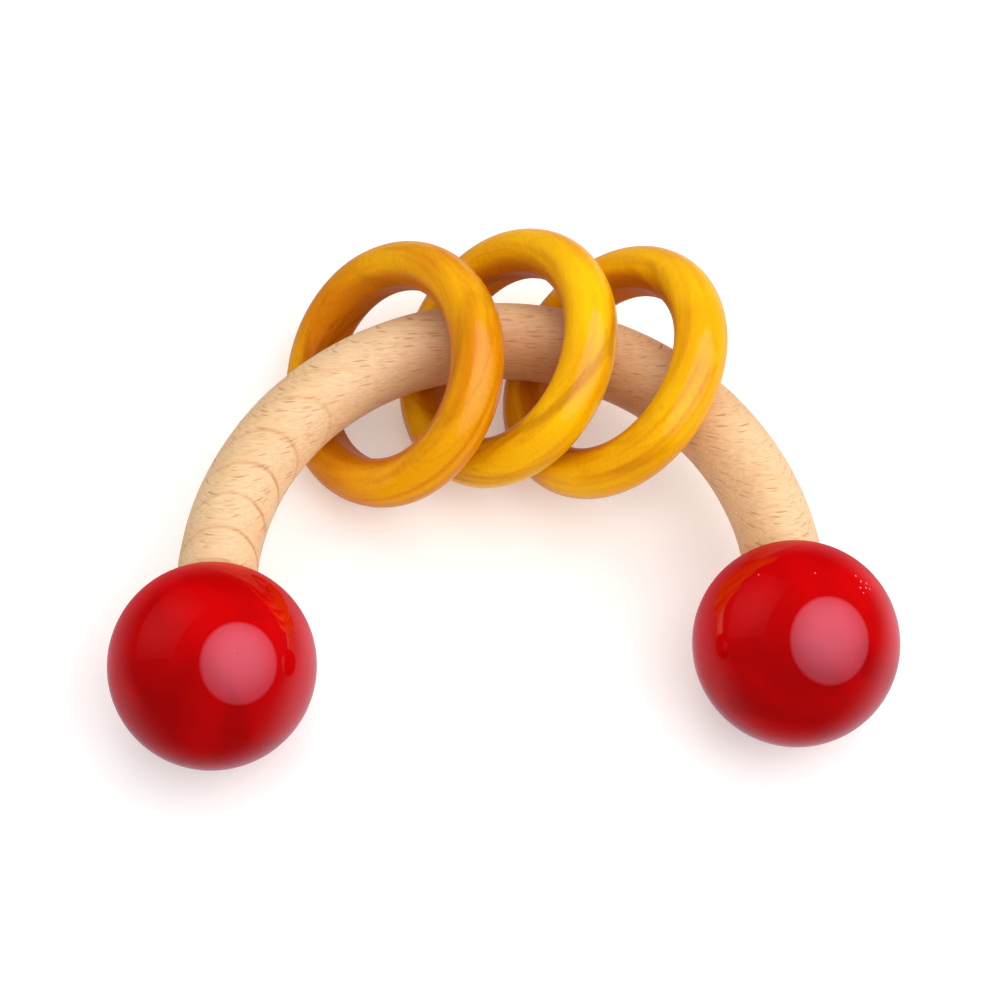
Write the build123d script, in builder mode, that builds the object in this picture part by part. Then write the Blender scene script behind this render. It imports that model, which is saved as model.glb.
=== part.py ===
"""Wooden baby rattle: a round beech half ring with a ball on each end and three loose rings.

The rattle lies on its side, the way it rests on a table. X runs from ball to ball, Y points from
the balls towards the crown of the arch, and Z is up. The origin is on the table, under the
centre that the arch is bent about. All sizes are in millimetres.
"""

import os
from math import cos, degrees, hypot, radians, sin, sqrt

from build123d import *

os.makedirs("parts", exist_ok=True)

# Arch: a half ring of round beech rod
arch_radius = 53.0  # centre of the half ring to the middle of the rod
rod_diameter = 15.0
leg_trim = 2.6  # degrees by which each leg stops short of the half circle
arch_end_round = 0.4  # broken edge round each end face

# Balls glued on the ends of the legs
ball_diameter = 38.2
seat_depth = 1.3  # how deep the flat seat goes in at the edge of the rod
seat_clearance = 0.1  # gap between the rod and the wall of the seat

# Dowel pins that join each leg to its ball
dowel_diameter = 8.0
dowel_length = 24.0
dowel_chamfer = 0.8
dowel_end_gap = 0.5  # room for glue beyond each end of the pin

# Rings: turned wood with a narrow straight bore and rounded sides
ring_outer_diameter = 52.6
ring_bore_diameter = 34.0
ring_width = 11.0
ring_bore_land = 4.2  # width of the straight strip inside the bore

# How the rings lie. Each leans with its low side on the table, under the rod.
middle_ring_place = 86.3  # degrees round the arch from +X to the middle ring
ring_gap_left = 4.0  # from the left ring to the middle ring, square to their faces
ring_gap_right = 2.9  # from the middle ring to the right ring
ring_play = 0.2  # least gap between a ring and the rod
play_per_degree = 0.03  # added to the play for each degree that all the rings lean more steeply
gap_per_degree = 0.1  # added to the gaps between rings for each such degree
lean_step = 2.0  # degrees by which the rings lean more steeply, until the rod has room
ring_insets = {"left": 3.2, "middle": 4.0, "right": 2.1}  # ring centre inside the rod's middle
ring_leans = {"left": 42.3, "middle": 42.3, "right": 41.8}  # flattest lean of its axis from upright
ring_turns = {"left": -7.4, "middle": 7.5, "right": 23.0}  # the lean's heading, from along the rod

# Derived sizes
rod_radius = rod_diameter / 2
ball_radius = ball_diameter / 2
arch_height = ball_radius  # the balls stand on the table and carry the arch
seat_offset = sqrt(ball_radius**2 - rod_radius**2) - seat_depth  # ball centre to flat seat
dowel_bore_depth = dowel_length / 2 + dowel_end_gap
half_width = ring_width / 2
land_share = sqrt(1 - (ring_bore_land / ring_width) ** 2)
wall_half = (ring_outer_diameter - ring_bore_diameter) / 2 / (1 + land_share)
wall_radius = ring_outer_diameter / 2 - wall_half  # ring axis to the middle of its section


def leg_end_plane(side):
    """Plane on a leg's end face, +Z pointing out of the leg; side is +1 right, -1 left."""
    trim = radians(leg_trim)
    face = Vector(side * arch_radius * cos(trim), arch_radius * sin(trim), arch_height)
    outward = Vector(side * sin(trim), -cos(trim), 0)
    return Plane(origin=face, x_dir=(0, 0, 1), z_dir=outward)


def section_reach(rise):
    """Half thickness of a ring's wall, measured along a line that rises `rise` (sine) out of its plane."""
    return hypot(wall_half * sqrt(1 - rise**2), half_width * rise)


def rod_room(lean, which):
    """Room beyond the play on each side of the rod, if it runs through the ring's centre."""
    along = sin(radians(lean)) * cos(radians(ring_turns[which]))
    return wall_radius * along - section_reach(sqrt(1 - along**2)) - rod_radius - ring_play


def extra_lean():
    """Degrees by which all the rings lean more steeply than stated, to make room for the rod."""
    extra = 0
    while min(rod_room(ring_leans[w] + extra, w) for w in ring_leans) < play_per_degree * extra:
        extra += lean_step
    return extra


def centre_height(lean, which):
    """Height of a ring's centre: low side on the table, or else the rod in the bore's middle."""
    tilt, turn = radians(lean), radians(ring_turns[which])
    across = sqrt(1 - (sin(tilt) * cos(turn)) ** 2)
    bow = (wall_radius * across) ** 2 / (2 * arch_radius)  # the rod has curved in this far by the wall
    inward = (ring_insets[which] - bow) * sin(tilt) * sin(turn)
    mid_bore = arch_height - inward / cos(tilt)
    sway = rod_room(lean, which) * across / cos(tilt)
    on_table = wall_radius * sin(tilt) + section_reach(cos(tilt))
    return on_table if abs(on_table - mid_bore) <= sway else mid_bore


def pitch_angle(gap):
    """Degrees round the arch from one ring to the next, for a gap between them when they lie flattest."""
    reach = arch_radius - ring_insets["middle"]
    lean = radians(ring_leans["middle"] + steeper)
    return degrees((ring_width + gap + gap_per_degree * steeper) / (reach * sin(lean)))


def ring_plane(which, around):
    """Plane through a ring's middle, +Z along its axis, `around` degrees round the arch from +X."""
    heading = radians(around + 90 + ring_turns[which])
    lean = ring_leans[which] + steeper
    tilt = radians(lean)
    axis = Vector(sin(tilt) * cos(heading), sin(tilt) * sin(heading), cos(tilt))
    reach = arch_radius - ring_insets[which]
    spot = radians(around)
    centre = Vector(reach * cos(spot), reach * sin(spot), centre_height(lean, which))
    level = Vector(-sin(heading), cos(heading), 0)
    return Plane(origin=centre, x_dir=level, z_dir=axis)


# Arch: the rod's round section swept round the half ring, with a dowel bore in each end
leg_ends = {"left": leg_end_plane(-1), "right": leg_end_plane(1)}
arch_sweep = 180 - 2 * leg_trim

with BuildPart() as arch:
    with BuildSketch(leg_ends["right"]):
        Circle(rod_radius)
    revolve(axis=Axis((0, 0, arch_height), (0, 0, 1)), revolution_arc=arch_sweep)
    end_faces = faces().filter_by(GeomType.PLANE)
    chamfer(end_faces.edges(), length=arch_end_round)
    for end in leg_ends.values():
        with BuildSketch(end):
            Circle(dowel_diameter / 2)
        extrude(amount=-dowel_bore_depth, mode=Mode.SUBTRACT)
arch.part.label = "arch"
export_step(arch.part, "parts/arch.step")

# Balls: each has a flat seat for the leg's end and a blind bore for the dowel
for side, end in leg_ends.items():
    with BuildPart(end.offset(seat_offset)) as ball:
        Sphere(ball_radius)
        with BuildSketch(end):
            Circle(rod_radius + seat_clearance)
        extrude(amount=-ball_diameter, mode=Mode.SUBTRACT)
        with BuildSketch(end):
            Circle(dowel_diameter / 2)
        extrude(amount=dowel_bore_depth, mode=Mode.SUBTRACT)
    ball.part.label = f"ball_{side}"
    export_step(ball.part, f"parts/ball_{side}.step")

# Dowel pins: half in the leg, half in the ball
for side, end in leg_ends.items():
    with BuildPart(end) as dowel:
        Cylinder(dowel_diameter / 2, dowel_length)
        chamfer(dowel.edges().filter_by(GeomType.CIRCLE), length=dowel_chamfer)
    dowel.part.label = f"dowel_{side}"
    export_step(dowel.part, f"parts/dowel_{side}.step")

# Rings: an oval section with its inner side cut flat by the bore, turned about the ring's axis
steeper = extra_lean()
ring_around = {
    "left": middle_ring_place + pitch_angle(ring_gap_left),
    "middle": middle_ring_place,
    "right": middle_ring_place - pitch_angle(ring_gap_right),
}
for which, around in ring_around.items():
    middle = ring_plane(which, around)
    section_plane = Plane(origin=middle.origin, x_dir=middle.x_dir, z_dir=-middle.y_dir)
    with BuildPart() as ring:
        with BuildSketch(section_plane):
            with Locations((wall_radius, 0)):
                Ellipse(wall_half, half_width)
            with Locations((ring_bore_diameter / 4, 0)):
                Rectangle(ring_bore_diameter / 2, ring_width, mode=Mode.SUBTRACT)
        revolve(axis=Axis(middle.origin, middle.z_dir))
    ring.part.label = f"ring_{which}"
    export_step(ring.part, f"parts/ring_{which}.step")
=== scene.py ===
"""Wooden baby rattle: a beech half ring, two red lacquered balls and three loose yellow rings.

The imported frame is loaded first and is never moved. Each piece below is a fresh surface laid over
its frame node, in metres, in the same axes: X from ball to ball, Y towards the crown, Z up.
"""

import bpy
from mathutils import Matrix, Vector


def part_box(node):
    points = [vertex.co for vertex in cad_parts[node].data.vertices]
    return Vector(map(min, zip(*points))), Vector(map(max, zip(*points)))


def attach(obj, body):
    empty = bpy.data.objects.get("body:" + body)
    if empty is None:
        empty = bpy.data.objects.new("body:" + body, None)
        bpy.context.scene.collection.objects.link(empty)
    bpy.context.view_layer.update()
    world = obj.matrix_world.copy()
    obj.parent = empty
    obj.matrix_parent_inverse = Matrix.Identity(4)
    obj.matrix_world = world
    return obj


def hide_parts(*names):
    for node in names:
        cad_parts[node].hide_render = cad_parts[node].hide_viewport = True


bl_info = {
    "name": "Wooden Ring Rattle",
    "version": (1, 0, 0),
    "blender": (4, 5, 0),
    "location": "View3D > Sidebar > Rattle",
    "description": "Builds a beech half-ring rattle with two lacquered balls and three loose rings",
    "category": "Add Mesh",
}

from math import atan2, cos, pi, radians, sin, sqrt

import bpy
import numpy as np
from bpy.props import FloatProperty, FloatVectorProperty, PointerProperty
from mathutils import Matrix, Vector

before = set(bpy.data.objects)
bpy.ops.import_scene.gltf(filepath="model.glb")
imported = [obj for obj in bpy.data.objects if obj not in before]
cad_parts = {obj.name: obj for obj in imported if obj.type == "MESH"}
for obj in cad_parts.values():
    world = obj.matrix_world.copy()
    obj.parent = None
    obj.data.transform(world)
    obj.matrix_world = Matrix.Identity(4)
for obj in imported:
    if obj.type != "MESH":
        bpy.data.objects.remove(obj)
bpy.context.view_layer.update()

MM = 0.001
SIDES = {"left": -1, "right": 1}
RINGS = ("left", "middle", "right")


def node_middle(node):
    """Middle of a frame node's box."""
    low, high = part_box(node)
    return (Vector(low) + Vector(high)) / 2


def node_extent(node):
    """Length, width and height of a frame node's box."""
    low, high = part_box(node)
    return Vector(high) - Vector(low)


ARCH_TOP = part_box("arch")[1]
ROD_RADIUS = node_extent("arch").z / 2
ARCH_HEIGHT = node_middle("arch").z
BALL_RADIUS = node_extent("ball_left").z / 2
SEAT_DEPTH = 1.3 * MM
SEAT_OFFSET = sqrt(BALL_RADIUS**2 - ROD_RADIUS**2) - SEAT_DEPTH


# ---------------------------------------------------------------- sizes and colours


def length(name, description, default):
    """A length property in metres."""
    return FloatProperty(
        name=name, description=description, default=default, min=0.0, unit="LENGTH", precision=5
    )


def angle(name, description, degrees):
    """An angle property, given here in degrees."""
    return FloatProperty(
        name=name, description=description, default=radians(degrees), subtype="ANGLE"
    )


def colour(name, description, default):
    """A scene-linear colour property."""
    return FloatVectorProperty(
        name=name, description=description, default=default, subtype="COLOR", min=0.0, max=1.0
    )


def number(name, description, default):
    """A plain number property."""
    return FloatProperty(name=name, description=description, default=default)


class RattleSizes(bpy.types.PropertyGroup):
    """Sizes of the rattle's pieces."""

    arch_radius: length("Arch radius", "Centre of the half ring to the rod", ARCH_TOP[1] - ROD_RADIUS)
    rod_radius: length("Rod radius", "Radius of the round rod", ROD_RADIUS)
    leg_trim: angle("Leg trim", "How far each leg stops short of the half circle", 2.6)
    end_round: length("End rounding", "Broken edge round each leg's end", 0.4 * MM)
    ball_radius: length("Ball radius", "Radius of each ball", BALL_RADIUS)
    seat_offset: length("Seat offset", "Ball centre to the flat seat of the leg", SEAT_OFFSET)
    seat_gap: length("Seat gap", "Gap between the rod and the wall of its seat", 0.1 * MM)
    seat_lip: length("Seat lip", "Width of the rounded lip round the seat", 0.35 * MM)
    dowel_radius: length("Dowel radius", "Radius of each hidden dowel pin", 4.0 * MM)
    dowel_length: length("Dowel length", "Length of each hidden dowel pin", 24.0 * MM)
    dowel_flute: length("Flute depth", "Depth of the glue flutes along the dowel", 0.3 * MM)
    bore_depth: length("Bore depth", "Depth of the dowel bore in the ball", 12.5 * MM)
    ring_outer: length("Ring outer radius", "Ring axis to its outer edge", 26.3 * MM)
    ring_bore: length("Ring bore radius", "Ring axis to its bore", 17.0 * MM)
    ring_width: length("Ring width", "Width of a ring along its axis", 11.0 * MM)
    bore_land: length("Bore land", "Width of the straight strip in the bore", 4.2 * MM)
    left_lean: angle("Left ring lean", "Lean of its axis from upright", 42.3)
    left_turn: angle("Left ring turn", "Heading of that lean, from along the rod", -7.4)
    middle_lean: angle("Middle ring lean", "Lean of its axis from upright", 42.3)
    middle_turn: angle("Middle ring turn", "Heading of that lean, from along the rod", 7.5)
    right_lean: angle("Right ring lean", "Lean of its axis from upright", 41.8)
    right_turn: angle("Right ring turn", "Heading of that lean, from along the rod", 23.0)


class RattleColours(bpy.types.PropertyGroup):
    """Colours of the rattle's finishes."""

    beech: colour("Beech", "Sanded beech between the grain lines", (0.83, 0.58, 0.335))
    beech_warm: colour("Beech warm", "Warmer clouds in the beech", (0.77, 0.47, 0.225))
    beech_line: colour("Growth line", "Late wood line of each year's growth", (0.60, 0.27, 0.10))
    beech_fleck: colour("Ray fleck", "Short brown rays in the beech", (0.47, 0.165, 0.045))
    red: colour("Red lacquer", "Crimson lacquer on the balls", (0.56, 0.0003, 0.001))
    # deep red also paints shade on each ball's side away from the crown, besides pooled lacquer
    red_deep: colour("Deep red", "Where the red lacquer lies thickest", (0.30, 0.0002, 0.0004))
    yellow: colour("Yellow lacquer", "Lightest lacquer on the rings", (0.97, 0.53, 0.002))
    # amber and brown also paint the shade and orange bounce light inside each ring's bore
    amber: colour("Amber lacquer", "Thicker lacquer on the rings", (0.66, 0.20, 0.0008))
    brown: colour("Brown figure", "Wood figure that shows through the yellow", (0.33, 0.078, 0.001))
    floor: colour("Floor", "Pale table top", (0.90, 0.90, 0.90))


class StageSettings(bpy.types.PropertyGroup):
    """Camera and studio light."""

    camera_height: angle("Camera elevation", "Camera above the table, seen from the rattle", 63.0)
    camera_side: angle("Camera heading", "Camera's heading, from +Y towards +X", 4.63)
    camera_roll: angle("Camera roll", "Turn of the picture about the line of sight", 2.06)
    camera_distance: length("Camera distance", "Camera to the point it looks at", 0.4739)
    lens: number("Lens", "Focal length in millimetres on a 36 mm sensor", 90.0)
    softbox_side: angle("Softbox to the right", "Softbox's angle from the camera's line", 35.0)
    softbox_lift: angle("Softbox lift", "Softbox's angle above the camera's line", 4.5)
    softbox_distance: length("Softbox distance", "Softbox to the rattle", 0.75)
    softbox_radius: length("Softbox radius", "Half the softbox's width", 0.79)
    softbox_strength: number("Softbox strength", "Brightness at the softbox's middle", 2.68)
    panel_strength: number("Panel strength", "Brightness of the pale panel at the left", 0.2)
    room_strength: number("Room strength", "Brightness of the pale room that fills the shade", 0.65)
    mirror_strength: number("Mirrored room", "Brightness of the room where gloss mirrors it", 0.04)
    mirror_floor: number("Mirrored floor", "Brightness of the floor where gloss mirrors it", 0.52)
    back_strength: number("Back light strength", "Brightness of the light beyond the crown", 2.5)
    side_strength: number("Side light strength", "Brightness of the light at the left", 1.9)
    floor_glow: number("Floor glow", "Brightness of the table's own light", 0.2)


# ---------------------------------------------------------------- surfaces


def grid_quads(rows, columns, wrap_rows):
    """Quads of a grid whose columns join up, and whose last row joins the first if wrap_rows."""
    here = np.arange(rows * columns).reshape(rows, columns)
    side = np.roll(here, -1, axis=1)
    if wrap_rows:
        above, above_side = np.roll(here, -1, axis=0), np.roll(side, -1, axis=0)
    else:
        here, side, above, above_side = here[:-1], side[:-1], here[1:], side[1:]
    return np.stack([here, side, above_side, above], axis=-1).reshape(-1, 4)


def enclosed_volume(points, triangles):
    """Signed volume: the sum of each triangle's triple product over six."""
    a, b, c = (points[triangles[:, k]] for k in range(3))
    return np.einsum("ij,ij->i", a, np.cross(b, c)).sum() / 6


def make_piece(name, grid, closed_rows, crease=40.0):
    """A closed mesh from a (rows, columns, 3) grid. Open rows are shut by a pole at each end."""
    rows, columns = grid.shape[:2]
    points = grid.reshape(-1, 3)
    quads = grid_quads(rows, columns, closed_rows)
    triangles = np.empty((0, 3), int)
    if not closed_rows:
        poles = np.stack([grid[0].mean(axis=0), grid[-1].mean(axis=0)])
        first = np.arange(columns)
        last = first + (rows - 1) * columns
        start, end = len(points), len(points) + 1
        triangles = np.concatenate(
            [
                np.stack([np.full(columns, start), np.roll(first, -1), first], axis=1),
                np.stack([np.full(columns, end), last, np.roll(last, -1)], axis=1),
            ]
        )
        points = np.concatenate([points, poles])
    split = np.concatenate([quads[:, [0, 1, 2]], quads[:, [0, 2, 3]], triangles])
    if enclosed_volume(points - points.mean(axis=0), split) < 0:
        quads, triangles = quads[:, ::-1], triangles[:, ::-1]
    mesh = bpy.data.meshes.new(name)
    mesh.from_pydata(points.tolist(), [], quads.tolist() + triangles.tolist())
    mesh.update()
    mesh.polygons.foreach_set("use_smooth", np.ones(len(mesh.polygons), bool))
    mesh.set_sharp_from_angle(angle=radians(crease))
    piece = bpy.data.objects.new(name, mesh)
    bpy.context.collection.objects.link(piece)
    return piece


def store_vectors(piece, name, vectors):
    """Keeps a vector for each point of a piece, for its material to read."""
    layer = piece.data.attributes.new(name, "FLOAT_VECTOR", "POINT")
    layer.data.foreach_set("vector", np.asarray(vectors, np.float32).ravel())


def wander(phase, *waves):
    """Sum of sines over a phase array: each wave is (how many per turn, height, start)."""
    return sum(height * np.sin(count * phase + start) for count, height, start in waves)


def arch_surface(sizes, rows=460, columns=112):
    """Round rod carried along the half ring: centre at radius R, section radius r.

    Point = (R + r cos v) (cos u, sin u, 0) + r sin v Z, with u from one leg's end to the other's.
    The first and last rows follow a quarter circle, which breaks the edge of the end face.
    """
    trim, broken = sizes.leg_trim, sizes.end_round
    quarter = np.linspace(0, pi / 2, 7)
    run_in = trim + broken * (1 - np.cos(quarter)) / sizes.arch_radius
    shrink_in = broken * (1 - np.sin(quarter))
    middle = np.linspace(run_in[-1], pi - run_in[-1], rows)[1:-1]
    u = np.concatenate([run_in, middle, pi - run_in[::-1]])[:, None]
    shrink = np.concatenate([shrink_in, np.zeros(rows - 2), shrink_in[::-1]])[:, None]
    v = np.linspace(0, 2 * pi, columns, endpoint=False)[None, :]
    hand_sanded = wander(u * 2 + v, (3, 0.020 * MM, 0.4)) + wander(u * 9 - v, (2, 0.015 * MM, 2.1))
    highest = 0.035 * MM  # of the two waves together, so the rod stays within its radius
    r = sizes.rod_radius - highest - shrink + hand_sanded
    reach = sizes.arch_radius + r * np.cos(v)
    height = ARCH_HEIGHT + r * np.sin(v) + 0 * u
    return np.stack([reach * np.cos(u), reach * np.sin(u), height], axis=-1)


def leg_end(sizes, side):
    """Middle of a leg's end face and the direction that the leg points in; side is +1 or -1."""
    trim = sizes.leg_trim
    middle = Vector((side * cos(trim), sin(trim), 0)) * sizes.arch_radius
    middle.z = ARCH_HEIGHT
    return np.array(middle), np.array((side * sin(trim), -cos(trim), 0.0))


def turned_surface(middle, axis, profile, columns):
    """Profile of (radius, height) pairs turned about an axis through middle.

    Point = middle + height * axis + radius * (cos v, sin v) in the plane square to the axis.
    """
    across = np.cross(axis, (0, 0, 1.0))
    across /= np.linalg.norm(across)
    square = np.cross(axis, across)
    v = np.linspace(0, 2 * pi, columns, endpoint=False)[None, :, None]
    radius, height = profile[:, 0, None, None], profile[:, 1, None, None]
    return middle + height * axis + radius * (np.cos(v) * across + np.sin(v) * square)


def ball_profile(sizes):
    """Dowel bore, flat seat, seat wall, rounded lip and then the ball's circle to its far pole."""
    seat_radius = sizes.rod_radius + sizes.seat_gap
    seat, bore = -sizes.seat_offset, -sizes.seat_offset + sizes.bore_depth
    lip_radius = seat_radius + sizes.seat_lip
    corner = -sqrt(sizes.ball_radius**2 - seat_radius**2)
    shoulder = -sqrt(sizes.ball_radius**2 - lip_radius**2)
    t = np.linspace(0, 1, 7)[:, None]
    start = np.array([seat_radius, corner + sizes.seat_lip])
    lip = (1 - t) ** 2 * start + 2 * t * (1 - t) * np.array([seat_radius, corner])
    lip = lip + t**2 * np.array([lip_radius, shoulder])
    first = np.arccos(shoulder / sizes.ball_radius)
    polar = np.linspace(first, 0.006, 190)[1:]
    dome = sizes.ball_radius * np.stack([np.sin(polar), np.cos(polar)], axis=1)
    pin = sizes.dowel_radius
    inside = [[0.2 * pin, bore], [pin, bore], [pin, (seat + bore) / 2], [pin, seat]]
    floor = [[(pin + seat_radius) / 2, seat], [seat_radius, seat]]
    return np.concatenate([inside, floor, lip, dome])


def dowel_surface(sizes, middle, axis, columns=120, flutes=12):
    """Round pin with chamfered ends: radius = r - flute depth * (rounded groove, 12 to a turn)."""
    half, chamfer, radius = sizes.dowel_length / 2, 0.8 * MM, sizes.dowel_radius
    height = np.array([-half, -half + chamfer, 0, half - chamfer, half])
    ends = np.array([radius - chamfer, radius, radius, radius, radius - chamfer])
    v = np.linspace(0, 2 * pi, columns, endpoint=False)[None, :, None]
    land = 0.35
    groove = np.clip(np.cos(flutes * v) - land, 0, None) / (1 - land)
    shell = ends[:, None, None] - sizes.dowel_flute * groove
    across = np.cross(axis, (0, 0, 1.0))
    square = np.cross(axis, across)
    spokes = np.cos(v) * across + np.sin(v) * square
    return middle + height[:, None, None] * axis + shell * spokes


def ring_section(sizes, columns):
    """Oval wall section cut by the bore: (radius from the ring's axis, height along it).

    The oval is centred so that its outer side meets the outer radius and the bore cuts a straight
    strip of the stated width. A soft maximum rounds the crease where the strip meets the sides.
    """
    half_width = sizes.ring_width / 2
    share = sqrt(1 - (sizes.bore_land / sizes.ring_width) ** 2)
    half_wall = (sizes.ring_outer - sizes.ring_bore) / (1 + share)
    w = np.linspace(0, 2 * pi, columns, endpoint=False)
    radius = sizes.ring_outer - half_wall + half_wall * np.cos(w)
    soft = 0.035 * MM
    over = (radius - sizes.ring_bore) / soft
    radius = sizes.ring_bore + soft * np.logaddexp(0, over)
    return radius, half_width * np.sin(w)


def ring_axes(lean, heading):
    """A ring's axis and two directions in its plane, from its lean and that lean's heading."""
    axis = np.array((sin(lean) * cos(heading), sin(lean) * sin(heading), cos(lean)))
    level = np.array((-sin(heading), cos(heading), 0.0))
    return axis, level, np.cross(axis, level)


def ring_surface(sizes, middle, lean, heading, seed, rows=352, columns=132):
    """Section carried round the ring's axis, with the faint unevenness of hand turning.

    Point = middle + radius (cos u level + sin u uphill) + height * axis.
    Returns the grid, and the same points in the ring's own board: X along the wood's grain.
    """
    axis, level, uphill = ring_axes(lean, heading)
    radius, height = ring_section(sizes, columns)
    u = np.linspace(0, 2 * pi, rows, endpoint=False)[:, None]
    wobble = wander(u, (2, 0.03 * MM, seed), (5, 0.018 * MM, 2.3 * seed), (9, 0.01 * MM, seed + 4))
    outer = (radius - sizes.ring_bore) / (sizes.ring_outer - sizes.ring_bore)
    highest = 0.05 * MM  # of the waves together, very nearly, so the ring stays within its radius
    radius = radius + (wobble - highest) * outer
    height = height + 0 * u
    x, y = radius * np.cos(u), radius * np.sin(u)
    grid = middle + x[..., None] * level + y[..., None] * uphill + height[..., None] * axis
    return grid, np.stack([x, y, height], axis=-1)


# ---------------------------------------------------------------- node helpers


def feed(tree, socket, value):
    """Links a socket to another node's output, or sets it to a value."""
    if isinstance(value, bpy.types.NodeSocket):
        tree.links.new(value, socket)
    else:
        socket.default_value = value


def add(tree, kind, inputs=None, **settings):
    """Adds a node, sets it, and fills its inputs with values or links."""
    node = tree.nodes.new(kind)
    for key, value in settings.items():
        setattr(node, key, value)
    for key, value in (inputs or {}).items():
        feed(tree, node.inputs[key], value)
    return node


def calc(tree, operation, a, b=0.0, clamp=False):
    """A Math node's result."""
    return add(tree, "ShaderNodeMath", {0: a, 1: b}, operation=operation, use_clamp=clamp).outputs[0]


def span(tree, share, start, change):
    """A value that goes from start, by change, as share goes from 0 to 1."""
    values = {0: share, 1: change, 2: start}
    return add(tree, "ShaderNodeMath", values, operation="MULTIPLY_ADD").outputs[0]


def weighted(tree, *shares):
    """Sum of values, each times its own weight."""
    total = 0.0
    for value, weight in shares:
        total = span(tree, value, total, weight)
    return total


def parts(tree, vector):
    """A vector's components, by name."""
    return add(tree, "ShaderNodeSeparateXYZ", {0: vector}).outputs


def scaled(tree, vector, scale):
    """A vector multiplied component by component."""
    node = add(tree, "ShaderNodeVectorMath", {0: vector, 1: scale}, operation="MULTIPLY")
    return node.outputs[0]


def moved(tree, vector, offset):
    """A vector plus another."""
    return add(tree, "ShaderNodeVectorMath", {0: vector, 1: offset}, operation="ADD").outputs[0]


def flattened(tree, vector):
    """A vector without its Z component, and the length that is left."""
    flat = scaled(tree, vector, (1, 1, 0))
    return flat, add(tree, "ShaderNodeVectorMath", {0: flat}, operation="LENGTH").outputs["Value"]


def noise(tree, vector, scale, detail=2.0, roughness=0.5, distortion=0.0):
    """Fractal noise between 0 and 1."""
    values = {"Scale": scale, "Detail": detail, "Roughness": roughness, "Distortion": distortion}
    return add(tree, "ShaderNodeTexNoise", {"Vector": vector, **values}).outputs[0]


def scatter(tree, vector, scale):
    """Points scattered one to a cell: the distance to the nearest, and its own random colour."""
    values = {"Vector": vector, "Scale": scale, "Randomness": 1.0}
    node = add(tree, "ShaderNodeTexVoronoi", values, feature="F1")
    return node.outputs["Distance"], node.outputs["Color"]


def ramp(tree, value, low, high, smooth=True):
    """0 up to low, 1 from high, smooth between; low may be above high."""
    kind = "SMOOTHSTEP" if smooth else "LINEAR"
    upside_down = low > high
    first, last = (high, low) if upside_down else (low, high)
    ends = {"To Min": 1.0, "To Max": 0.0} if upside_down else {"To Min": 0.0, "To Max": 1.0}
    node = add(
        tree,
        "ShaderNodeMapRange",
        {"Value": value, "From Min": first, "From Max": last, **ends},
        interpolation_type=kind,
    )
    return node.outputs[0]


def blend(tree, amount, a, b, kind="MIX"):
    """One colour mixed over another. The colours are the Mix node's inputs 6 and 7."""
    node = add(tree, "ShaderNodeMix", data_type="RGBA", blend_type=kind)
    for index, value in ((0, amount), (6, a), (7, b)):
        feed(tree, node.inputs[index], value)
    return node.outputs[2]


def rgba(value):
    """A colour property with full alpha."""
    return (*value, 1.0)


def new_group(name, inputs, outputs):
    """A shader node group with named sockets. Returns the tree and its input node."""
    tree = bpy.data.node_groups.new(name, "ShaderNodeTree")
    for label, kind, default in inputs:
        socket = tree.interface.new_socket(label, in_out="INPUT", socket_type=kind)
        if default is not None:
            socket.default_value = default
    for label, kind in outputs:
        tree.interface.new_socket(label, in_out="OUTPUT", socket_type=kind)
    return tree, tree.nodes.new("NodeGroupInput").outputs


def close_group(tree, **results):
    """Links a group's results, named with spaces as underscores, to its output node."""
    out = tree.nodes.new("NodeGroupOutput")
    for label, socket in results.items():
        tree.links.new(socket, out.inputs[label.replace("_", " ")])


def use_group(tree, group, **inputs):
    """Places a node group and fills its inputs; names are given with underscores."""
    node = add(tree, "ShaderNodeGroup", node_tree=group)
    for label, value in inputs.items():
        feed(tree, node.inputs[label.replace("_", " ")], value)
    return node.outputs


VECTOR, FLOAT = "NodeSocketVector", "NodeSocketFloat"

# Long and short rays in the beech: a cell in mm (along the grain, across the ray, into the wood),
# how far a ray reaches in its cell, and a shift that keeps the two kinds apart
RAYS = (((4.8, 0.40, 5.5), 0.19, 0.0), ((2.8, 0.26, 4.5), 0.17, 0.37))


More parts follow.
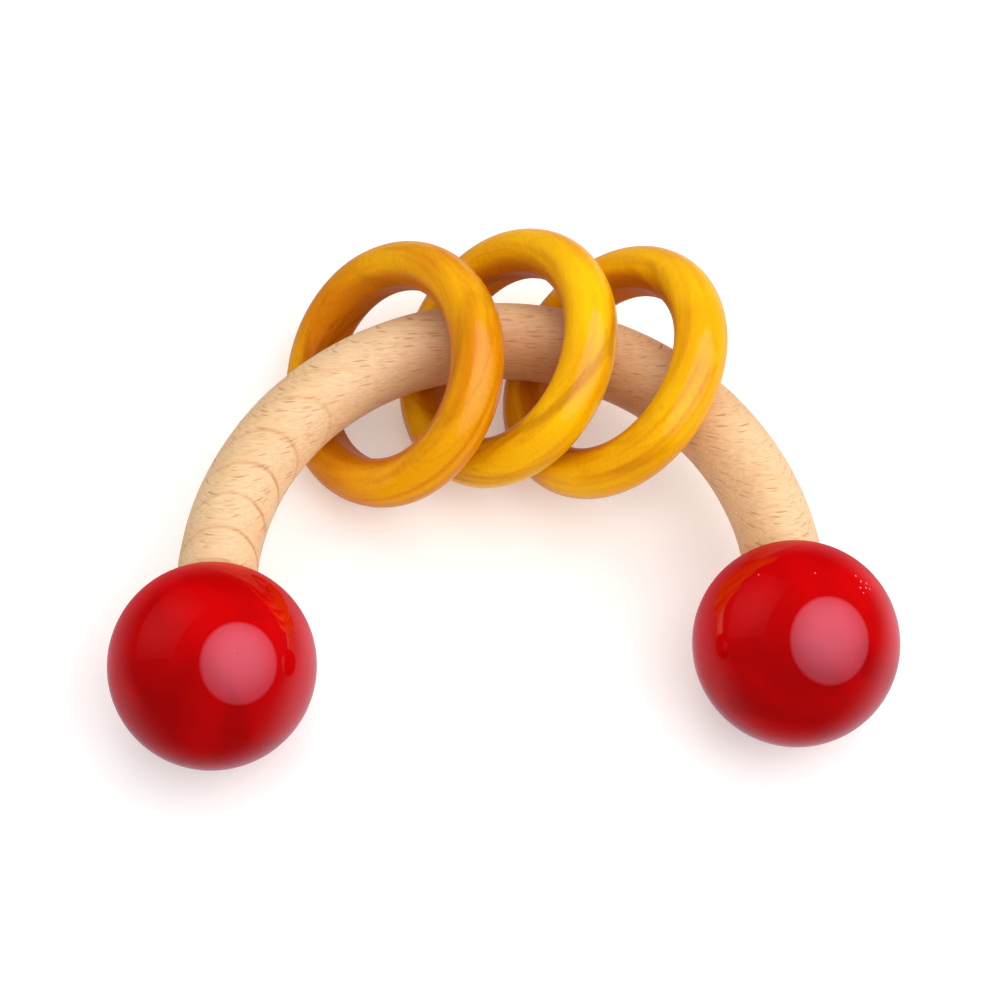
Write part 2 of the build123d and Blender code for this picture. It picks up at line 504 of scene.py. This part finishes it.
def wood_figure_group():
    """Beech figure in a board whose grain runs along X: growth lines, ray flecks and fibre.

    The growth layers are sheets whose normal leans from Z in the YZ plane. Rays are thin sheets
    square to them, so on a rod across the grain one draws arches and the other draws smiles.
    """
    tree, given = new_group(
        "Wood Figure",
        [
            ("Vector", VECTOR, None),
            ("Layer Lean", FLOAT, radians(-52)),
            ("Layer Spacing", FLOAT, 5.2 * MM),
            ("Seed", FLOAT, 0.0),
        ],
        [("Late Wood", FLOAT), ("Flecks", FLOAT), ("Fibre", FLOAT), ("Cloud", FLOAT)],
    )
    seeded = add(tree, "ShaderNodeCombineXYZ", {"X": given["Seed"], "Y": 0.031, "Z": given["Seed"]})
    place = moved(tree, given["Vector"], seeded.outputs[0])
    sway = add(
        tree,
        "ShaderNodeTexNoise",
        {"Vector": scaled(tree, place, (0.45, 1, 1)), "Scale": 55.0, "Detail": 2.0},
    ).outputs["Color"]
    sway = moved(tree, sway, (-0.5, -0.5, -0.5))
    bent = moved(tree, place, scaled(tree, sway, (0.0, 0.0022, 0.0022)))
    turned = add(
        tree,
        "ShaderNodeVectorRotate",
        {"Vector": bent, "Angle": given["Layer Lean"]},
        rotation_type="X_AXIS",
    ).outputs[0]
    layers = calc(tree, "DIVIDE", parts(tree, turned)["Z"], given["Layer Spacing"])
    slow = noise(tree, scaled(tree, turned, (0.15, 1, 1)), 120.0, 1.0)
    layers = span(tree, slow, layers, 0.35)
    year = calc(tree, "FRACT", layers)
    rise = calc(tree, "POWER", year, 9.0)
    edge = ramp(tree, year, 0.0, 0.05)
    line = ramp(tree, calc(tree, "ABSOLUTE", calc(tree, "SUBTRACT", year, 0.93)), 0.07, 0.0)
    patchy = ramp(tree, noise(tree, scaled(tree, turned, (90, 300, 160)), 1.0, 1.0), 0.3, 0.7)
    line = calc(tree, "MULTIPLY", line, span(tree, patchy, 0.4, 0.6))
    late = weighted(tree, (calc(tree, "MULTIPLY", rise, edge), 0.6), (line, 1.0))
    rays = []
    for cell, reach, shift in RAYS:
        in_cells = scaled(tree, turned, tuple(1 / (side * MM) for side in cell))
        distance, lot = scatter(tree, moved(tree, in_cells, (shift, shift, shift)), 1.0)
        ray = ramp(tree, distance, reach + 0.16, reach - 0.02)
        tone = add(tree, "ShaderNodeSeparateColor", {0: lot}).outputs[0]
        rays.append(calc(tree, "MULTIPLY", ray, ramp(tree, tone, 0.2, 0.8)))
    flecks = calc(tree, "MAXIMUM", rays[0], calc(tree, "MULTIPLY", rays[1], 0.75))
    fibre = noise(tree, scaled(tree, turned, (240.0, 2600.0, 2200.0)), 1.0, 3.0, 0.62)
    cloud = noise(tree, scaled(tree, turned, (28.0, 95.0, 80.0)), 1.0, 3.0, 0.55, 0.4)
    close_group(tree, Late_Wood=late, Flecks=flecks, Fibre=fibre, Cloud=cloud)
    return tree


def lacquer_skin_group():
    """Dipped gloss lacquer: slow flow, fine orange peel and sparse dust nibs, as one height."""
    tree, given = new_group(
        "Lacquer Skin",
        [("Vector", VECTOR, None), ("Peel", FLOAT, 1.0), ("Nibs", FLOAT, 1.0)],
        [("Height", FLOAT), ("Flow", FLOAT)],
    )
    flow = noise(tree, given["Vector"], 70.0, 2.0, 0.5, 0.6)
    peel = noise(tree, given["Vector"], 900.0, 1.0, 0.4)
    distance, lot = scatter(tree, given["Vector"], 330.0)
    pick = add(tree, "ShaderNodeSeparateColor", {0: lot}).outputs[1]
    nib = ramp(tree, distance, 0.075, 0.02)
    nib = calc(tree, "MULTIPLY", nib, ramp(tree, pick, 0.955, 0.965))
    nib = calc(tree, "MULTIPLY", nib, given["Nibs"])
    height = weighted(tree, (flow, 1.0), (calc(tree, "MULTIPLY", peel, given["Peel"]), 0.05), (nib, 0.8))
    close_group(tree, Height=height, Flow=flow)
    return tree


def spot_mask_group():
    """A soft round spot: 1 within the radius of a point, fading to 0 just outside it."""
    tree, given = new_group(
        "Spot Mask",
        [("Vector", VECTOR, None), ("Centre", VECTOR, None), ("Radius", FLOAT, 0.4 * MM)],
        [("Mask", FLOAT)],
    )
    gap = add(
        tree, "ShaderNodeVectorMath", {0: given["Vector"], 1: given["Centre"]}, operation="DISTANCE"
    )
    share = calc(tree, "DIVIDE", gap.outputs["Value"], given["Radius"])
    close_group(tree, Mask=ramp(tree, share, 1.15, 0.75))
    return tree


GROUPS = {}


def shared(build):
    """The node group that a function builds, built the first time it is asked for."""
    if build not in GROUPS:
        GROUPS[build] = build()
    return GROUPS[build]


def new_material(name):
    """A material with its Principled shader. Returns the material, its tree and the shader."""
    material = bpy.data.materials.new(name)
    material.use_nodes = True
    return material, material.node_tree, material.node_tree.nodes["Principled BSDF"]


def bump(tree, shader, height, distance, strength=1.0):
    """Feeds a height, through a Bump node, to a shader's normal."""
    node = add(tree, "ShaderNodeBump", {"Height": height, "Distance": distance, "Strength": strength})
    tree.links.new(node.outputs[0], shader.inputs["Normal"])


def object_place(tree):
    """Object coordinates: the row's own frame, in metres."""
    return tree.nodes.new("ShaderNodeTexCoord").outputs["Object"]


def spot_mask(tree, centre, radius):
    """Mask of a round spot on the piece."""
    group = shared(spot_mask_group)
    return use_group(tree, group, Vector=object_place(tree), Centre=centre, Radius=radius)["Mask"]


def beech_material(name, colours, quarter_turn=0.0, line_strength=1.0):
    """Sanded, oiled beech: clouds, growth lines, ray flecks and fine fibre, with a satin surface.

    The crown is painted darker and redder, most of all on its inner side, and so is the inner
    side of the right leg, though less: painted shade and orange bounce light from the rings.
    """
    material, tree, shader = new_material(name)
    place = object_place(tree)
    if quarter_turn:
        place = add(tree, "ShaderNodeMapping", {"Vector": place, "Rotation": (0, 0, quarter_turn)})
        place = place.outputs[0]
    wood = use_group(tree, shared(wood_figure_group), Vector=place)
    axes = parts(tree, place)
    _, reach = flattened(tree, place)
    inner = ramp(tree, reach, ARCH_TOP[1] - 3 * ROD_RADIUS / 5, ARCH_TOP[1] - 9 * ROD_RADIUS / 5)
    # the growth lines are plain on the inner side of the left leg and fade towards the right one
    fade = ramp(tree, axes["X"], -20 * MM, -45 * MM)
    fade = calc(tree, "MULTIPLY", fade, span(tree, inner, 0.35, 0.7))
    fade = calc(tree, "ADD", fade, 0.10)
    late = calc(tree, "MULTIPLY", wood["Late Wood"], calc(tree, "MULTIPLY", fade, line_strength))
    # painted shade: masks for the crown and the right leg's inner side, darkened for the shade and
    # orange bounce light there
    crown = ramp(tree, axes["Y"], 22 * MM, 50 * MM)
    crown = calc(tree, "MULTIPLY", crown, ramp(tree, axes["X"], -30 * MM, 0.0))
    painted_arch_shade = calc(tree, "MULTIPLY", span(tree, inner, 0.25, 0.75), crown)
    leg_inner = calc(tree, "MULTIPLY", inner, ramp(tree, axes["X"], 20 * MM, 50 * MM))
    painted_arch_shade = calc(tree, "MAXIMUM", painted_arch_shade, calc(tree, "MULTIPLY", leg_inner, 0.4))
    tint = ramp(tree, wood["Cloud"], 0.38, 0.72)
    base = blend(tree, calc(tree, "MULTIPLY", tint, 0.55), rgba(colours.beech), rgba(colours.beech_warm))
    base = blend(tree, calc(tree, "MULTIPLY", late, 0.62), base, rgba(colours.beech_line))
    base = blend(tree, calc(tree, "MULTIPLY", wood["Flecks"], 0.6), base, rgba(colours.beech_fleck))
    # painted shade: multiplies the beech darker and redder where the painted shade mask is set
    base = blend(tree, calc(tree, "MULTIPLY", painted_arch_shade, 0.85), base, (0.78, 0.52, 0.33, 1), "MULTIPLY")
    streak = ramp(tree, wood["Fibre"], 0.30, 0.72, smooth=False)
    shade = blend(tree, streak, (0.86, 0.83, 0.80, 1), (1.07, 1.07, 1.07, 1))
    base = blend(tree, 1.0, base, shade, "MULTIPLY")
    tree.links.new(base, shader.inputs["Base Color"])
    tree.links.new(span(tree, wood["Fibre"], 0.42, 0.16), shader.inputs["Roughness"])
    shader.inputs["Specular IOR Level"].default_value = 0.4
    dents = span(tree, wood["Flecks"], wood["Fibre"], -0.8)
    bump(tree, shader, dents, 0.05 * MM, 0.55)
    return material


def red_material(name, colours, marks, middle_y):
    """Thick crimson lacquer: nearly even colour under a clear gloss, with a few pin-sized nicks.

    The colour is painted deeper towards the end away from the crown, as painted shade on that
    side of the ball, and the gloss is thinnest round the seat.
    """
    material, tree, shader = new_material(name)
    place = object_place(tree)
    film = use_group(tree, shared(lacquer_skin_group), Vector=place, Peel=0.6, Nibs=1.0)
    axes = parts(tree, place)
    # painted shade: deeper red on the side of the ball away from the crown
    painted_far_shade = ramp(tree, axes["Y"], middle_y + 3 * MM, middle_y - 17 * MM)
    pooled = ramp(tree, film["Flow"], 0.38, 0.66)
    deep = calc(tree, "MINIMUM", weighted(tree, (pooled, 0.4), (painted_far_shade, 0.75)), 1.0)
    base = blend(tree, deep, rgba(colours.red), rgba(colours.red_deep))
    height = film["Height"]
    for centre, radius, tone in marks:
        mask = spot_mask(tree, centre, radius)
        base = blend(tree, calc(tree, "MULTIPLY", mask, 0.75), base, rgba(tone))
        height = span(tree, mask, height, -0.9)
    tree.links.new(base, shader.inputs["Base Color"])
    shader.inputs["Roughness"].default_value = 0.32
    shader.inputs["Specular IOR Level"].default_value = 0.0
    near_seat = ramp(tree, axes["Y"], middle_y - 2 * MM, middle_y + 12 * MM)
    gloss = span(tree, near_seat, 1.0, -0.7)
    tree.links.new(gloss, shader.inputs["Coat Weight"])
    shader.inputs["Coat Roughness"].default_value = 0.03
    shader.inputs["Coat IOR"].default_value = 1.6
    bump(tree, shader, height, 0.05 * MM, 0.22)
    return material


def ring_material(name, colours, bore, mellow, seed, pits):
    """Clear yellow lacquer over turned wood.

    mellow moves the whole ring from yellow to amber. The wood's own figure and the turner's
    streaks show through as olive-brown smudges. Inside the bore the colour is deeper amber and
    brown: partly lacquer pooled there, partly painted shade and orange bounce light.
    """
    material, tree, shader = new_material(name)
    board = add(tree, "ShaderNodeAttribute", attribute_name="board").outputs["Vector"]
    flat, reach = flattened(tree, board)
    spoke = add(tree, "ShaderNodeVectorMath", {0: flat}, operation="NORMALIZE").outputs[0]
    layers = {"Layer_Lean": radians(18), "Layer_Spacing": 3.1 * MM, "Seed": seed}
    wood = use_group(tree, shared(wood_figure_group), Vector=board, **layers)
    dipped = moved(tree, board, (seed, seed, 0))
    film = use_group(tree, shared(lacquer_skin_group), Vector=dipped, Peel=0.5, Nibs=0.0)
    # streaks run round the ring: the noise changes slowly round it, and quickly across the wall
    swept = {"X": reach, "Y": parts(tree, board)["Z"]}
    swept = add(tree, "ShaderNodeCombineXYZ", swept).outputs[0]
    swept = moved(tree, scaled(tree, swept, (330, 330, 0)), scaled(tree, spoke, (0.9, 0.9, 0.9)))
    swept = moved(tree, swept, (31.0 * seed, 0.0, 7.0 * seed))
    turning = noise(tree, swept, 1.0, 3.0, 0.55, 0.3)
    streak = ramp(tree, turning, 0.42, 0.68)
    swirl = moved(tree, scaled(tree, swept, (0.4, 0.4, 0.4)), scaled(tree, spoke, (0.7, 0.7, 0.7)))
    smudge = ramp(tree, noise(tree, swirl, 1.0, 3.0, 0.6, 0.5), 0.50, 0.72)
    # painted shade inside the bore, on top of the deeper lacquer there: more amber and brown
    inside = ramp(tree, reach, bore + 3.5 * MM, bore)
    broad = ramp(tree, noise(tree, moved(tree, board, (0, seed, 0)), 38.0, 1.0, 0.4), 0.42, 0.62)
    depth = weighted(tree, (streak, 0.36), (broad, 0.34), (inside, 0.8))
    depth = calc(tree, "ADD", depth, mellow, clamp=True)
    base = blend(tree, depth, rgba(colours.yellow), rgba(colours.amber))
    # the brown inside the bore is partly painted shade and orange bounce light
    shown = weighted(
        tree, (wood["Late Wood"], 0.05), (smudge, 0.46), (inside, 0.42), (wood["Flecks"], 0.10)
    )
    base = blend(tree, calc(tree, "MINIMUM", shown, 1.0), base, rgba(colours.brown))
    fine = ramp(tree, wood["Fibre"], 0.25, 0.75, smooth=False)
    fibre_tone = blend(tree, fine, (0.90, 0.88, 0.85, 1), (1.05, 1.05, 1.05, 1))
    base = blend(tree, 1.0, base, fibre_tone, "MULTIPLY")
    height = film["Height"]
    for centre, radius in pits:
        pit = spot_mask(tree, centre, radius)
        base = blend(tree, pit, base, (0.10, 0.025, 0.004, 1))
        height = span(tree, pit, height, -2.0)
    tree.links.new(base, shader.inputs["Base Color"])
    shader.inputs["Roughness"].default_value = 0.38
    shader.inputs["Specular IOR Level"].default_value = 0.04
    gloss = span(tree, inside, 0.6, -0.5)
    tree.links.new(gloss, shader.inputs["Coat Weight"])
    shader.inputs["Coat Roughness"].default_value = 0.06
    shader.inputs["Coat IOR"].default_value = 1.5
    bump(tree, shader, height, 0.06 * MM, 0.6)
    return material


def finish_piece(piece, material, node, body):
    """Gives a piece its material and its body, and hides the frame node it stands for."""
    piece.data.materials.append(material)
    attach(piece, body)
    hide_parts(node)


# ---------------------------------------------------------------- operators


class RATTLE_OT_arch(bpy.types.Operator):
    """Adds the beech half ring"""

    bl_idname = "rattle.add_arch"
    bl_label = "Add Arch"

    def execute(self, context):
        sizes, colours = context.scene.rattle_sizes, context.scene.rattle_colours
        piece = make_piece("beech_arch", arch_surface(sizes), closed_rows=False)
        finish_piece(piece, beech_material("Oiled Beech", colours), "arch", "frame")
        return {"FINISHED"}


class RATTLE_OT_balls(bpy.types.Operator):
    """Adds the two lacquered balls"""

    bl_idname = "rattle.add_balls"
    bl_label = "Add Balls"

    def execute(self, context):
        sizes, colours = context.scene.rattle_sizes, context.scene.rattle_colours
        for name, side in SIDES.items():
            end, out = leg_end(sizes, side)
            middle = end + sizes.seat_offset * out
            grid = turned_surface(middle, out, ball_profile(sizes), columns=224)
            piece = make_piece(f"red_ball_{name}", grid, closed_rows=False)
            marks = ball_marks(middle, sizes.ball_radius, name)
            material = red_material(f"Red Lacquer {name.title()}", colours, marks, float(middle[1]))
            finish_piece(piece, material, f"ball_{name}", "frame")
        return {"FINISHED"}


PALE_NICK, DARK_SPECK, GREY_CHIP = (0.85, 0.36, 0.36), (0.16, 0.0, 0.004), (0.16, 0.13, 0.11)


def ball_marks(middle, radius, name):
    """Small marks in a ball's lacquer, as (place, size, colour).

    The right ball has a scatter of pale nicks high on its right, and two more near its top. The
    left ball has a dark speck in the lacquer and a grey chip at its far edge.
    """
    if name == "left":
        marks = [((0.31, -0.28, 0.91), 0.22, DARK_SPECK), ((-0.23, -0.96, -0.14), 0.55, GREY_CHIP)]
    else:
        rng = np.random.default_rng(11)
        offsets = rng.normal(0, 0.06, (10, 3)) + (0.60, 0.22, 0.78)
        marks = [(tuple(offset), rng.uniform(0.12, 0.2), PALE_NICK) for offset in offsets]
        marks += [((-0.42, 0.36, 0.84), 0.14, PALE_NICK), ((0.10, 0.30, 0.95), 0.15, PALE_NICK)]
    placed = []
    for toward, size, tone in marks:
        toward = np.array(toward) / np.linalg.norm(toward)
        placed.append((tuple(middle + radius * toward), float(size) * MM, tone))
    return placed


class RATTLE_OT_dowels(bpy.types.Operator):
    """Adds the fluted dowel pins hidden in the leg joints"""

    bl_idname = "rattle.add_dowels"
    bl_label = "Add Dowels"

    def execute(self, context):
        sizes, colours = context.scene.rattle_sizes, context.scene.rattle_colours
        material = beech_material("Dowel Beech", colours, quarter_turn=radians(90), line_strength=0.5)
        for name, side in SIDES.items():
            end, out = leg_end(sizes, side)
            piece = make_piece(f"dowel_pin_{name}", dowel_surface(sizes, end, out), closed_rows=False)
            finish_piece(piece, material, f"dowel_{name}", "frame")
        return {"FINISHED"}


class RATTLE_OT_rings(bpy.types.Operator):
    """Adds the three loose rings"""

    bl_idname = "rattle.add_rings"
    bl_label = "Add Rings"

    def execute(self, context):
        sizes, colours = context.scene.rattle_sizes, context.scene.rattle_colours
        mellow = {"left": 0.44, "middle": -0.06, "right": 0.16}
        for seed, name in enumerate(RINGS, start=1):
            middle = np.array(node_middle(f"ring_{name}"))
            lean = getattr(sizes, f"{name}_lean")
            along_rod = atan2(middle[1], middle[0]) + pi / 2
            heading = along_rod + getattr(sizes, f"{name}_turn")
            grid, board = ring_surface(sizes, middle, lean, heading, seed)
            piece = make_piece(f"yellow_ring_{name}", grid, closed_rows=True)
            store_vectors(piece, "board", board)
            pits = [(pit_place(sizes, middle, lean, heading), 0.3 * MM)] if name == "right" else []
            label = f"Yellow Lacquer {name.title()}"
            material = ring_material(label, colours, sizes.ring_bore, mellow[name], seed, pits)
            finish_piece(piece, material, f"ring_{name}", f"{name}_ring")
        return {"FINISHED"}


def pit_place(sizes, middle, lean, heading):
    """One pinhole near the top of the right ring, on its upper side."""
    axis, level, uphill = ring_axes(lean, heading)
    around, inset, rise = radians(-112), 3.2 * MM, 0.42 * sizes.ring_width
    spoke = cos(around) * level + sin(around) * uphill
    return tuple(middle + (sizes.ring_outer - inset) * spoke + rise * axis)


class RATTLE_OT_stage(bpy.types.Operator):
    """Adds the floor, the studio light and the camera"""

    bl_idname = "rattle.add_stage"
    bl_label = "Add Stage"

    def execute(self, context):
        stage, colours = context.scene.rattle_stage, context.scene.rattle_colours
        aim = Vector((0.58 * MM, 18.05 * MM, ARCH_HEIGHT))
        add_floor(colours, stage)
        camera = add_camera(context, stage, aim)
        right, up, back = (Vector(column) for column in camera.matrix_world.to_3x3().transposed())
        side, lift = stage.softbox_side, stage.softbox_lift
        toward = back * cos(side) * cos(lift) + right * sin(side) * cos(lift) + up * sin(lift)
        add_softbox(aim + toward * stage.softbox_distance, aim, stage)
        panel_toward = (back * 0.35 - right * 0.80 + up * 0.75).normalized()
        add_panel(aim + panel_toward * 0.9, aim, stage)
        add_fill("back_light", (-0.15, 0.62, 0.77), stage.back_strength, aim)
        add_fill("side_light", (-0.80, 0.05, 0.60), stage.side_strength, aim)
        add_room(context, stage)
        return {"FINISHED"}


def add_floor(colours, stage):
    """A wide pale table top that glows a little, so its shadows stay pale, kept out of the gloss."""
    half_width = 3.0
    mesh = bpy.data.meshes.new("floor")
    mesh.from_pydata(rectangle(1.0), [], [(0, 1, 2, 3)])
    mesh.transform(Matrix.Scale(half_width, 4))
    floor = bpy.data.objects.new("floor", mesh)
    bpy.context.collection.objects.link(floor)
    material, _, shader = new_material("Pale Table")
    shader.inputs["Base Color"].default_value = rgba(colours.floor)
    shader.inputs["Roughness"].default_value = 0.6
    shader.inputs["Emission Color"].default_value = (1.0, 1.0, 1.0, 1)
    shader.inputs["Emission Strength"].default_value = stage.floor_glow
    mesh.materials.append(material)
    floor.visible_glossy = False


def look_rotation(place, aim, roll=0.0):
    """Rotation that points -Z at aim with +Y up, then turns by roll about the line of sight."""
    return (aim - place).to_track_quat("-Z", "Y").to_matrix().to_4x4() @ Matrix.Rotation(roll, 4, "Z")


def add_camera(context, stage, aim):
    """The camera, placed by elevation, heading and distance from the point it looks at."""
    height, heading = stage.camera_height, stage.camera_side
    back = Vector((-sin(heading) * cos(height), -cos(heading) * cos(height), sin(height)))
    place = aim + back * stage.camera_distance
    data = bpy.data.cameras.new("camera")
    data.lens = stage.lens
    data.sensor_width = 36.0
    data.clip_start = 0.01
    camera = bpy.data.objects.new("camera", data)
    context.collection.objects.link(camera)
    camera.matrix_world = Matrix.Translation(place) @ look_rotation(place, aim, stage.camera_roll)
    context.scene.camera = camera
    return camera


def glow_material(name, strength, edge_share=1.0, softbox=False):
    """White light that falls smoothly from its hot spot, a touch pinker where gloss mirrors it.

    The softbox is hottest up and to the right, and its rim is soft.
    """
    material = bpy.data.materials.new(name)
    material.use_nodes = True
    tree = material.node_tree
    tree.nodes.clear()
    place = tree.nodes.new("ShaderNodeTexCoord").outputs["Object"]
    values = {0: place, 1: (0.15, 0.15, 0.0) if softbox else (0.0, 0.0, 0.0)}
    reach = add(tree, "ShaderNodeVectorMath", values, operation="DISTANCE").outputs["Value"]
    level = span(tree, ramp(tree, reach, 0.1, 1.15), strength, strength * (edge_share - 1.0))
    if softbox:
        rim = add(tree, "ShaderNodeVectorMath", {0: place}, operation="LENGTH").outputs["Value"]
        level = calc(tree, "MULTIPLY", level, ramp(tree, rim, 1.0, 0.84))
    mirrored = tree.nodes.new("ShaderNodeLightPath").outputs["Is Glossy Ray"]
    pinker = (0.95, 0.76, 1.08, 1) if softbox else (1.0, 0.9, 1.0, 1)
    tone = blend(tree, mirrored, (1.0, 0.98, 0.965, 1), pinker)
    glow = add(tree, "ShaderNodeEmission", {"Strength": level, "Color": tone})
    out = tree.nodes.new("ShaderNodeOutputMaterial")
    tree.links.new(glow.outputs[0], out.inputs["Surface"])
    return material


def rectangle(half_height):
    """Outline of a flat rectangle, 2 wide, about the origin."""
    return [(x, y * half_height, 0.0) for x, y in ((-1, -1), (1, -1), (1, 1), (-1, 1))]


def add_glow(name, outline, place, aim, size, material):
    """A flat light of unit outline, scaled to size and turned to face aim, unseen by the camera."""
    mesh = bpy.data.meshes.new(name)
    mesh.from_pydata(outline, [], [tuple(range(len(outline)))])
    light = bpy.data.objects.new(name, mesh)
    bpy.context.collection.objects.link(light)
    turn = (place - aim).to_track_quat("Z", "Y").to_matrix().to_4x4()
    light.matrix_world = Matrix.Translation(place) @ turn @ Matrix.Diagonal((size, size, size, 1))
    mesh.materials.append(material)
    light.visible_camera = False
    light.visible_shadow = False
    return light


def add_softbox(place, aim, stage):
    """Large round softbox, hot in the middle."""
    turns = np.linspace(0, 2 * pi, 96, endpoint=False)
    reach = 1.0 - 0.008 * np.cos(8 * turns)
    outline = [(r * cos(t), r * sin(t), 0.0) for r, t in zip(reach, turns)]
    material = glow_material("Softbox Cloth", stage.softbox_strength, 0.3, softbox=True)
    add_glow("softbox", outline, place, aim, stage.softbox_radius, material)


def add_panel(place, aim, stage):
    """Pale reflector panel on the far left, which fills that side softly."""
    material = glow_material("Reflector Panel", stage.panel_strength, 0.4)
    add_glow("panel", rectangle(0.7), place, aim, 0.62, material)


def add_fill(name, toward, strength, aim):
    """Large soft light in the given direction, kept out of the gloss."""
    place = aim + Vector(toward).normalized() * 1.1
    light = add_glow(name, rectangle(0.8), place, aim, 0.55, glow_material(name, strength, 0.6))
    light.visible_glossy = False


def add_room(context, stage):
    """Room light: even white fill, which gloss mirrors as a dark room with a pale floor.

    The mirrored floor is darker on the camera's side of the rattle and to the left.
    """
    world = bpy.data.worlds.new("studio")
    world.use_nodes = True
    tree = world.node_tree
    mirrored = tree.nodes.new("ShaderNodeLightPath").outputs["Is Glossy Ray"]
    fill, mirror = stage.room_strength, stage.mirror_strength
    direction = tree.nodes.new("ShaderNodeTexCoord").outputs["Generated"]
    axes = parts(tree, direction)
    below, beyond = ramp(tree, axes["Z"], 0.05, -0.62), ramp(tree, axes["Y"], -0.85, -0.05)
    side = span(tree, ramp(tree, axes["X"], -0.8, 0.7), 0.6, 0.7)
    floor = calc(tree, "MULTIPLY", calc(tree, "MULTIPLY", below, beyond), side)
    level = span(tree, floor, mirror, stage.mirror_floor - mirror)
    reflected = blend(tree, level, (0.0, 0.0, 0.0, 1), (1.0, 0.84, 0.96, 1))
    tone = blend(tree, mirrored, (fill, fill, fill, 1), reflected)
    tree.links.new(tone, tree.nodes["Background"].inputs["Color"])
    context.scene.world = world
    context.scene.view_settings.view_transform = "Standard"


class RATTLE_PT_panel(bpy.types.Panel):
    """Lists the rattle's pieces and settings"""

    bl_idname = "RATTLE_PT_panel"
    bl_label = "Wooden Ring Rattle"
    bl_space_type = "VIEW_3D"
    bl_region_type = "UI"
    bl_category = "Rattle"

    def draw(self, context):
        for operator in OPERATORS:
            self.layout.operator(operator.bl_idname)
        for group in (context.scene.rattle_sizes, context.scene.rattle_colours):
            box = self.layout.box()
            for name in group.__annotations__:
                box.prop(group, name)


SETTINGS = {
    "rattle_sizes": RattleSizes,
    "rattle_colours": RattleColours,
    "rattle_stage": StageSettings,
}
OPERATORS = (
    RATTLE_OT_arch,
    RATTLE_OT_balls,
    RATTLE_OT_dowels,
    RATTLE_OT_rings,
    RATTLE_OT_stage,
)


def register():
    """Registers the classes and hangs the settings on the scene."""
    for kind in (*SETTINGS.values(), *OPERATORS, RATTLE_PT_panel):
        bpy.utils.register_class(kind)
    for name, kind in SETTINGS.items():
        setattr(bpy.types.Scene, name, PointerProperty(type=kind))


def unregister():
    """Takes the settings off the scene and unregisters the classes."""
    for name in SETTINGS:
        delattr(bpy.types.Scene, name)
    for kind in (RATTLE_PT_panel, *reversed(OPERATORS), *SETTINGS.values()):
        bpy.utils.unregister_class(kind)


def main():
    """Builds the whole rattle and its stage."""
    register()
    bpy.ops.rattle.add_arch()
    bpy.ops.rattle.add_balls()
    bpy.ops.rattle.add_dowels()
    bpy.ops.rattle.add_rings()
    bpy.ops.rattle.add_stage()
    bpy.context.view_layer.update()


if __name__ == "__main__":
    main()
